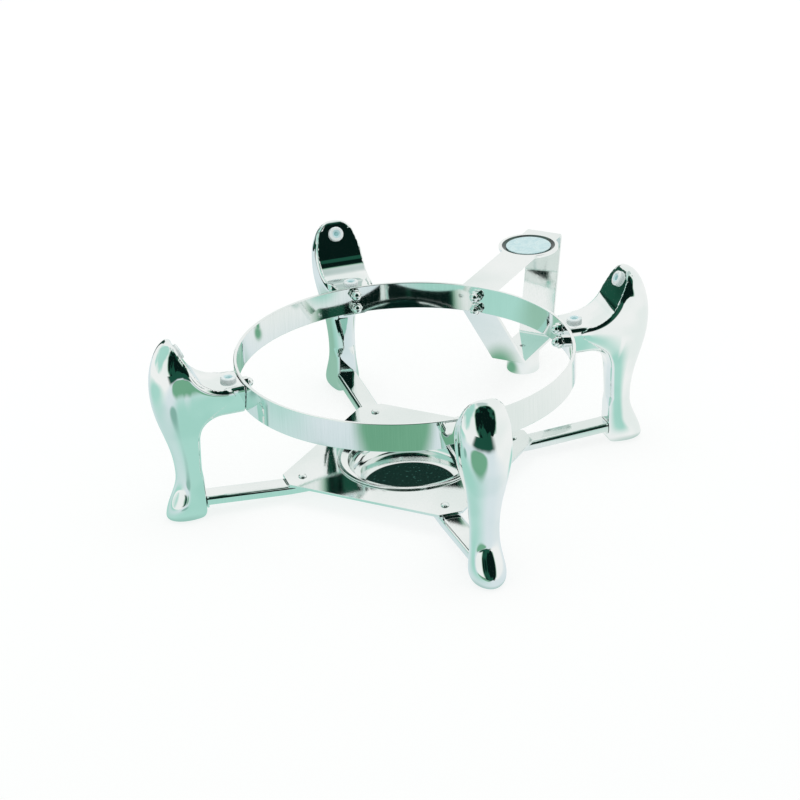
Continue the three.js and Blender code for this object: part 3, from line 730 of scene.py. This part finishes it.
silicone = clouded_rubber("silicone", (0.66, 0.86, 0.88), (0.55, 0.78, 0.82))
# The rim copy is coloured paler, as painted rim light; the eye copy is coloured darker than the body
silicone_rim = clouded_rubber("silicone_rim", (0.90, 0.95, 0.95), (0.82, 0.90, 0.91))
silicone_eye = clouded_rubber("silicone_eye", (0.34, 0.62, 0.64), (0.24, 0.50, 0.52))

eye_level = pad_height - pad_eye_depth
pad_profile = [(0, pad_root), *filleted([
    (0, pad_root, 0), (pad_radius, pad_root, 0.3), (pad_radius, pad_height, 1.3),
    (pad_eye + 1.2, pad_height, 0.8), (pad_eye - 0.4, eye_level, 0.5), (0, eye_level, 0)],
    steps=5, closed=False)[1:]]
pad_vertices, pad_faces = turned(pad_profile, segments=48)
horn_place = face_start + (horn_tip - face_start) * horn_pad_place
horn_tilt = math.atan2(horn_tip[1] - face_start[1], horn_tip[0] - face_start[0])
seats = {"seat": (arm_end + seat_pad_from_ring, seat_level, 0.0),
         "horn": (horn_place[0], horn_place[1], horn_tilt)}
for station, azimuth in stations.items():
    for seat, (x, z, tilt) in seats.items():
        c, s = math.cos(tilt), math.sin(tilt)
        tilted = [(px * c - pz * s, py, px * s + pz * c) for px, py, pz in pad_vertices]
        name = f"{seat}_disc_{station}"
        pad = new_piece(name, moved(tilted, azimuth, (x, 0, z)), pad_faces)
        for rubber in (silicone, silicone_rim, silicone_eye):
            pad.data.materials.append(rubber)
        for face, corners in zip(pad.data.polygons, pad_faces):
            reach = np.mean([math.hypot(*pad_vertices[k][:2]) for k in corners])
            face.material_index = 1 if reach > pad_radius - pad_rim else 2 if reach < pad_eye else 0
        finished(name, silicone, f"{seat}_pad_{station}", slot="silicone")

# Cap nuts. Domed M6 nuts, chromed, one above the other inside the ring at every leg and at the bracket.
# A chamfered hexagon carries a half round cap that closes it over the end of the stud.
nut_flats = 10.0
nut_height = 4.5
nut_cap = 4.4
nut_heights = (108.5, 121.5)
nut_cap_inset = 0.6
nut_gap = 0.3
nut_crease = math.radians(24)
bracket_nut_drop = 2.5
nut_seat = math.sqrt(ring_inner ** 2 - (nut_flats / math.sqrt(3)) ** 2) - nut_gap


def cap_nut():
    """A hexagon with chamfered corners and a domed cap, along Z with its seat at zero."""
    vertices, faces, rings = [], [], []
    corner = nut_flats / math.sqrt(3)
    flat = nut_flats / 2
    segments = 48
    # Heights, each with the radius to which the corners are turned away there
    levels = [(0.0, flat * 0.97), (0.5, None), (nut_height - 0.7, None), (nut_height, flat * 0.95)]
    for z, round_radius in levels:
        ring = []
        for k in range(segments):
            angle = 2 * math.pi * k / segments
            across = flat / math.cos((angle + math.pi / 6) % (math.pi / 3) - math.pi / 6)
            radius = round_radius or min(across, corner)
            ring.append(len(vertices))
            vertices.append((radius * math.cos(angle), radius * math.sin(angle), z))
        rings.append(ring)
    dome_steps = 10
    for k in range(dome_steps + 1):
        angle = math.pi / 2 * k / dome_steps
        radius = (flat - nut_cap_inset) * math.cos(angle)
        ring = []
        for j in range(segments if k < dome_steps else 1):
            turn = 2 * math.pi * j / segments
            ring.append(len(vertices))
            vertices.append((radius * math.cos(turn), radius * math.sin(turn),
                             nut_height + 0.1 + nut_cap * math.sin(angle)))
        rings.append(ring if k < dome_steps else ring * segments)
    faces.append(tuple(reversed(rings[0])))
    for low, high in zip(rings, rings[1:]):
        for k in range(segments):
            n = (k + 1) % segments
            quad = (low[k], low[n], high[n], high[k])
            faces.append(quad if high[n] != high[k] else quad[:3])
    return vertices, faces


nut_vertices, nut_faces = cap_nut()
nut_places = {**stations, "bracket": 45}
for station, azimuth in nut_places.items():
    for level, z in zip(("lower", "upper"), nut_heights):
        name = f"domed_nut_{station}_{level}"
        drop = bracket_nut_drop if station == "bracket" else 0
        laid = [(-pz, py, px) for px, py, pz in nut_vertices]
        nut = new_piece(name, moved(laid, azimuth, (nut_seat, 0, z - drop)), nut_faces, smooth=False)
        nut.data.shade_smooth()
        nut.data.set_sharp_from_angle(angle=nut_crease)
        finished(name, cast_chrome, f"cap_nut_{station}_{level}", slot="fastener_chrome")

# Studs and screws. Plain turned steel, all but hidden in the stand. They keep the solids of the frame and
# get only their finish here.
turned_steel = bpy.data.materials.new("turned_steel")
nodes = Nodes(turned_steel)
place = nodes.add("TexCoord", "Object")
grain = nodes.add("TexNoise", Vector=place, Scale=700.0, Detail=2.0)
tint = nodes.blend(grain, (0.62, 0.66, 0.64), (0.50, 0.54, 0.52))
bump = nodes.add("Bump", Height=grain, Strength=0.1, Distance=0.0002)
nodes.output(nodes.add("BsdfPrincipled", Base_Color=tint, Metallic=1.0, Roughness=grain * 0.12 + 0.2,
                       Normal=bump))
for name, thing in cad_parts.items():
    if "stud" in name or "screw" in name:
        thing.data.materials.clear()
        thing.data.materials.append(turned_steel)

# Rails. Four lengths of 1.5 mm steel sheet, each folded into an upside down channel that lies level under the
# plate and rises a little to the foot of its leg. A tab folded down at the outer end is screwed to the leg.
rail_half = 10.0
rail_sheet = 1.5
rail_depth = 8.0
rail_bend = 3.6
rail_top = 16.7
rail_rise = 4.6
rail_inner = 85.5
rail_knee = 116.5
rail_outer = 192.0
rail_lip = 0.3
rail_end = 0.4
knee_reach = 4
tab_low = 10.5
tab_high = 20.5
tab_half = 9.25
rail_crease = math.radians(40)

inner_half = rail_half - rail_sheet
inner_bend = rail_bend - rail_sheet
channel = filleted([
    (-rail_half, -rail_depth, rail_lip), (-rail_half, 0, rail_bend), (rail_half, 0, rail_bend),
    (rail_half, -rail_depth, rail_lip), (inner_half, -rail_depth, rail_lip),
    (inner_half, -rail_sheet, inner_bend), (-inner_half, -rail_sheet, inner_bend),
    (-inner_half, -rail_depth, rail_lip)], steps=5)
rail_slope = rail_rise / (rail_outer - rail_knee)
stops = [(rail_inner, 0.0), (rail_inner + rail_end, 0.0)]
for k in range(-knee_reach, knee_reach + 1):
    stops.append((rail_knee + k, rail_slope * max(0.0, k + (knee_reach - abs(k)) / 2)))
stops += [(rail_outer - rail_end, rail_rise), (rail_outer, rail_rise)]
rail_vertices = [(x, y, rail_top + lift + z) for x, lift in stops for y, z in channel]
loop = len(channel)
rail_faces = [tuple(range(loop)), tuple(reversed(range(len(rail_vertices) - loop, len(rail_vertices))))]
for i in range(len(stops) - 1):
    for k in range(loop):
        n = (k + 1) % loop
        rail_faces.append((i * loop + n, i * loop + k, (i + 1) * loop + k, (i + 1) * loop + n))
first = len(rail_vertices)
rail_vertices += [(x, y, z) for x in (rail_outer - rail_sheet, rail_outer) for y in (-tab_half, tab_half)
                  for z in (tab_low, tab_high)]
rail_faces += [tuple(first + k for k in corners) for corners in (
    (0, 1, 3, 2), (4, 6, 7, 5), (0, 4, 5, 1), (2, 3, 7, 6), (0, 2, 6, 4), (1, 5, 7, 3))]
for station, azimuth in stations.items():
    name = f"rail_channel_{station}"
    rail = new_piece(name, moved(rail_vertices, azimuth), rail_faces)
    rail.data.set_sharp_from_angle(angle=rail_crease)
    finished(name, sheet_steel, f"rail_{station}")

# Rivets. A steel rivet with a low domed head holds the plate to the inner end of each rail. Its tail is
# clinched under the rail's back.
rivet_x = 101.0
rivet_top = 19.8
rivet_shank = 2.0
rivet_head = 4.0
rivet_dome = 1.6
rivet_tail = 3.4
tail_low = 13.2
tail_high = 14.6
tail_slope = 0.3

rivet_profile = [(0, tail_low), (rivet_tail, tail_low), (rivet_tail, tail_high),
                 (rivet_shank, tail_high + tail_slope), (rivet_shank, rivet_top)]
rivet_profile += filleted([(rivet_shank, rivet_top, 0), (rivet_head, rivet_top, 0.2),
                           (rivet_head - 0.5, rivet_top + 1.0, 0.8), (2.2, rivet_top + rivet_dome, 0.8),
                           (0, rivet_top + rivet_dome, 0)], steps=5, closed=False)[1:]
rivet_vertices, rivet_faces = turned(rivet_profile, segments=40)
for station, azimuth in stations.items():
    name = f"rivet_{station}"
    new_piece(name, moved(rivet_vertices, azimuth, (rivet_x, 0, 0)), rivet_faces)
    finished(name, sheet_steel, f"plate_rivet_{station}", slot="fastener_steel")

# Burner plate. A square of 2.5 mm steel sheet with a round hole for the cup. Its four cut corners lie on the
# rails and are riveted to them, and its edges are broken by the polishing.
plate_top = 19.5
plate_thickness = 2.5
plate_span = 116.5
plate_corner = 11.0
plate_hole = 62.0
plate_corner_round = 1.5
plate_edge = 0.35


def cut_sheet(name, outlines, thickness, edge):
    """A flat plate from outlines in the XY plane, centred on z = 0, with rounded edges."""
    shape = bpy.data.curves.new(name + "_outline", "CURVE")
    shape.dimensions = "2D"
    shape.fill_mode = "BOTH"
    for outline in outlines:
        spline = shape.splines.new("POLY")
        spline.points.add(len(outline) - 1)
        spline.use_cyclic_u = True
        for point, (x, y) in zip(spline.points, outline):
            point.co = (x * MM, y * MM, 0, 1)
    shape.extrude = (thickness / 2 - edge) * MM
    shape.bevel_depth = edge * MM
    shape.bevel_resolution = 2
    shape.offset = -edge * MM
    holder = bpy.data.objects.new(name + "_outline", shape)
    bpy.context.scene.collection.objects.link(holder)
    bpy.context.view_layer.update()
    mesh = bpy.data.meshes.new_from_object(holder.evaluated_get(bpy.context.evaluated_depsgraph_get()))
    bpy.data.objects.remove(holder)
    welded = bmesh.new()
    welded.from_mesh(mesh)
    bmesh.ops.remove_doubles(welded, verts=welded.verts, dist=1e-6)
    bmesh.ops.recalc_face_normals(welded, faces=welded.faces)
    welded.to_mesh(mesh)
    welded.free()
    mesh.name = name
    mesh.materials.clear()
    thing = bpy.data.objects.new(name, mesh)
    bpy.context.scene.collection.objects.link(thing)
    mesh.shade_smooth()
    thing.modifiers.new("flats_stay_flat", "WEIGHTED_NORMAL").keep_sharp = True
    return thing


plate_corners = []
for quarter in range(4):
    c, s = math.cos(quarter * math.pi / 2), math.sin(quarter * math.pi / 2)
    for side in (-plate_corner, plate_corner):
        plate_corners.append((plate_span * c - side * s, plate_span * s + side * c, plate_corner_round))
hole_line = [(plate_hole * math.cos(a), plate_hole * math.sin(a))
             for a in np.linspace(0, 2 * math.pi, 160, False)]
plate = cut_sheet("plate", [filleted(plate_corners, steps=4), hole_line], plate_thickness, plate_edge)
plate.data.transform(Matrix.Translation((0, 0, (plate_top - plate_thickness / 2) * MM)))
finished("plate", sheet_steel, "burner_plate")

# Fuel cup. A pressed stainless dish with a flat rim that lies on the plate, a lip that slopes in to the
# mouth, and a rounded floor with a dull near black green disc on it. It has no fastener and lifts out.
rim_radius = 65.5
mouth_radius = 55.5
cup_wall = 1.2
rim_under = 19.8
lip_out = 62.0
lip_drop = 2.4
cup_depth = 16.0
lip_z = rim_under + cup_wall - lip_drop
cup_floor = lip_z - cup_depth
dark_disc_middle = (-0.006, -0.019, cup_floor * MM)
dark_disc_radius = 0.043
dark_disc_fade = 0.0005

cup_profile = [(0, cup_floor - cup_wall), *filleted([
    (0, cup_floor - cup_wall, 0), (mouth_radius + cup_wall, cup_floor - cup_wall, 12.2),
    (mouth_radius + cup_wall, lip_z - cup_wall, 0.8), (lip_out, rim_under, 1.5),
    (rim_radius, rim_under, 0.55), (rim_radius, rim_under + cup_wall, 0.55),
    (lip_out, rim_under + cup_wall, 2.5), (mouth_radius, lip_z, 1.8),
    (mouth_radius, cup_floor, 11.0), (0, cup_floor, 0)], steps=12, closed=False)[1:]]
cup_steel = bpy.data.materials.new("cup_steel")
nodes = Nodes(cup_steel)
place = nodes.add("TexCoord", "Object")
px, py, pz = nodes.split(place)
radius = (px * px + py * py) ** 0.5
turning = nodes.add("TexNoise", settings={"noise_dimensions": "1D"}, W=radius * 5200.0, Detail=2.0)
cloud = nodes.add("TexNoise", Vector=place, Scale=14.0, Detail=3.0)
tint = nodes.blend(cloud.step(0.3, 0.7), (0.90, 0.92, 0.91), (0.82, 0.88, 0.86))
# The floor carries a dull near black green disc, off centre, with greener flecks in it
flecks = nodes.add("TexNoise", Vector=place, Scale=330.0, Detail=3.0)
dark_disc_tint = nodes.blend(flecks.step(0.60, 0.74), (0.003, 0.028, 0.021), (0.05, 0.17, 0.14))
dark_disc_shader = nodes.add("BsdfPrincipled", Base_Color=dark_disc_tint, Roughness=0.5, Specular_IOR_Level=0.03)
off_dark_disc = nodes.add("VectorMath", "Value", {"operation": "DISTANCE"}, in0=place, in1=dark_disc_middle)
in_dark_disc = 1 - (off_dark_disc + cloud * 0.002).step(dark_disc_radius - dark_disc_fade, dark_disc_radius + dark_disc_fade)
on_floor = in_dark_disc * pz.step((cup_floor - 0.5) * MM, cup_floor * MM)
bump = nodes.add("Bump", Height=turning, Strength=0.02, Distance=0.0003)
pressed = nodes.add("BsdfPrincipled", Base_Color=tint, Metallic=1.0, Roughness=turning * 0.05 + 0.04,
                    Normal=bump)
nodes.output(nodes.add("MixShader", in0=on_floor, in1=pressed, in2=dark_disc_shader))
new_piece("cup", *turned(cup_profile, segments=200))
finished("cup", cup_steel, "fuel_cup", body="fuel_cup", slot="cup_steel")

# Rear bracket. A steel strip 35 mm wide and 3 mm thick, folded into a closed loop behind the ring: down from
# the ring, under, up and back over the top. The top is widened to a disc with a shallow recess for a round
# pad. Two studs and their cap nuts hold it to the ring.
bracket_azimuth = 45
strip_width = 35.0
strip = 3.0
strip_root = 154.2
bracket_top = 125.5
top_out = 312.5
low_out = 284.5
low_in = 218.5
low_z = 21.5
root_low = 101.0
disc_middle = 269.5
disc_radius = 29.25
recess_rim = 26.0
recess_floor = 22.5
recess_depth = 1.8
strip_edge = 0.35
strip_crease = math.radians(50)

loop_outer = [(strip_root, bracket_top, 0.4), (top_out, bracket_top, 5.0), (low_out, low_z, 5.0),
              (low_in, low_z, 6.0), (strip_root, root_low, 1.0)]


def along(point, direction, z=None, x=None):
    """The point of a line at a height or at a distance out."""
    share = (z - point[1]) / direction[1] if x is None else (x - point[0]) / direction[0]
    return (point[0] + direction[0] * share, point[1] + direction[1] * share)


def inset(start, end):
    """The line between two corners moved in by the thickness of the strip, as a point and a direction."""
    direction = np.array(end) - np.array(start)
    direction /= np.linalg.norm(direction)
    return np.array(start) + np.array((direction[1], -direction[0])) * strip, direction


upright = inset((top_out, bracket_top), (low_out, low_z))
slant = inset((low_in, low_z), (strip_root, root_low))
loop_inner = [(strip_root + strip, bracket_top - strip, 1.0), (*along(*upright, z=bracket_top - strip), 2.0),
              (*along(*upright, z=low_z + strip), 2.0), (*along(*slant, z=low_z + strip), 3.0),
              (*along(*slant, x=strip_root + strip), 1.0)]
loop_lines = [filleted(loop_outer, steps=8), filleted(loop_inner, steps=8)]
loop_piece = cut_sheet("bracket_strip", loop_lines, strip_width, strip_edge)
loop_piece.modifiers.clear()
loop_piece.data.transform(Matrix.Rotation(math.pi / 2, 4, "X"))


def carved(target, tool_piece, operation):
    """Joins or cuts one mesh object with another and keeps the result in the first."""
    modifier = target.modifiers.new("carve", "BOOLEAN")
    modifier.object = tool_piece
    modifier.operation = operation
    modifier.solver = "EXACT"
    bpy.context.view_layer.update()
    result = bpy.data.meshes.new_from_object(target.evaluated_get(bpy.context.evaluated_depsgraph_get()))
    target.modifiers.clear()
    target.data = result
    bpy.data.objects.remove(tool_piece)


# Painted shade: the recess round the pad is coloured a glossy near black, for the shadow in the gap round it
painted_gap_shade = bpy.data.materials.new("painted_gap_shade")
nodes = Nodes(painted_gap_shade)
place = nodes.add("TexCoord", "Object")
cloud = nodes.add("TexNoise", Vector=place, Scale=60.0, Detail=2.0)
tint = nodes.blend(cloud.step(0.4, 0.6), (0.006, 0.022, 0.018), (0.02, 0.07, 0.055))
nodes.output(nodes.add("BsdfPrincipled", Base_Color=tint, Roughness=0.2))

disc_under = bracket_top - strip
disc_profile = [(0, disc_under), *filleted([
    (0, disc_under, 0), (disc_radius, disc_under, strip_edge), (disc_radius, bracket_top, strip_edge),
    (0, bracket_top, 0)], steps=3, closed=False)[1:]]
disc = new_piece("bracket_disc", *turned(disc_profile, segments=128), smooth=False)
disc.data.transform(Matrix.Translation((disc_middle * MM, 0, 0)))
carved(loop_piece, disc, "UNION")
recess_bottom = bracket_top - recess_depth
sink = new_piece("recess_tool", *turned([
    (0, recess_bottom), (recess_floor, recess_bottom), (recess_rim - 0.8, bracket_top - 0.25),
    (recess_rim, bracket_top), (recess_rim + 0.5, bracket_top + 3), (0, bracket_top + 3)], 128), smooth=False)
sink.data.transform(Matrix.Translation((disc_middle * MM, 0, 0)))
carved(loop_piece, sink, "DIFFERENCE")
loop_piece.data.transform(Matrix.Rotation(math.radians(bracket_azimuth), 4, "Z"))
loop_piece.data.shade_smooth()
loop_piece.data.set_sharp_from_angle(angle=strip_crease)
loop_piece.modifiers.new("flats_stay_flat", "WEIGHTED_NORMAL").keep_sharp = True
loop_piece.data.materials.append(sheet_steel)
loop_piece.data.materials.append(painted_gap_shade)
disc_centre = Vector(moved([(disc_middle, 0, 0)], bracket_azimuth)[0]) * MM
# The faces of the recess round the pad get the painted gap shade
for face in loop_piece.data.polygons:
    reach = math.hypot(face.center.x - disc_centre.x, face.center.y - disc_centre.y)
    if reach < (recess_rim + 0.1) * MM and face.center.z > (recess_bottom - 0.1) * MM:
        face.material_index = 1
finished("bracket_strip", sheet_steel, "bracket_loop")

# Bracket pad. A disc of the pads' silicone, 44 mm across and 1.2 mm thick, with a softened upper edge. It is
# bonded in the recess on top of the bracket and lies a little below its rim.
rest_radius = 22.0
rest_thickness = 1.2
rest_bottom = recess_bottom + 0.3
rest_top = rest_bottom + rest_thickness
rest_profile = [(0, rest_bottom), *filleted([
    (0, rest_bottom, 0), (rest_radius, rest_bottom, 0.2), (rest_radius, rest_top, 0.5), (0, rest_top, 0)],
    steps=4, closed=False)[1:]]
rest_vertices, rest_faces = turned(rest_profile, segments=96)
new_piece("bracket_rest", moved(rest_vertices, bracket_azimuth, (disc_middle, 0, 0)), rest_faces)
finished("bracket_rest", silicone, "bracket_pad", slot="silicone")

# Bracket foot. A turned stub, chromed like the legs, 32.5 mm across and 21 mm high. The screw in its bore
# holds it under the loop.
foot_place = 252.0
foot_radius = 16.25
foot_top = 21.2
foot_bore = 3.3
foot_profile = filleted([(foot_bore, 0, 0.0), (foot_radius, 0, 1.5), (foot_radius, foot_top, 0.8),
                         (foot_bore, foot_top, 0.0)], steps=6)
foot_vertices, foot_faces = turned(foot_profile, segments=96)
new_piece("bracket_stub", moved(foot_vertices, bracket_azimuth, (foot_place, 0, 0)), foot_faces)
finished("bracket_stub", cast_chrome, "bracket_foot", slot="cast_chrome")
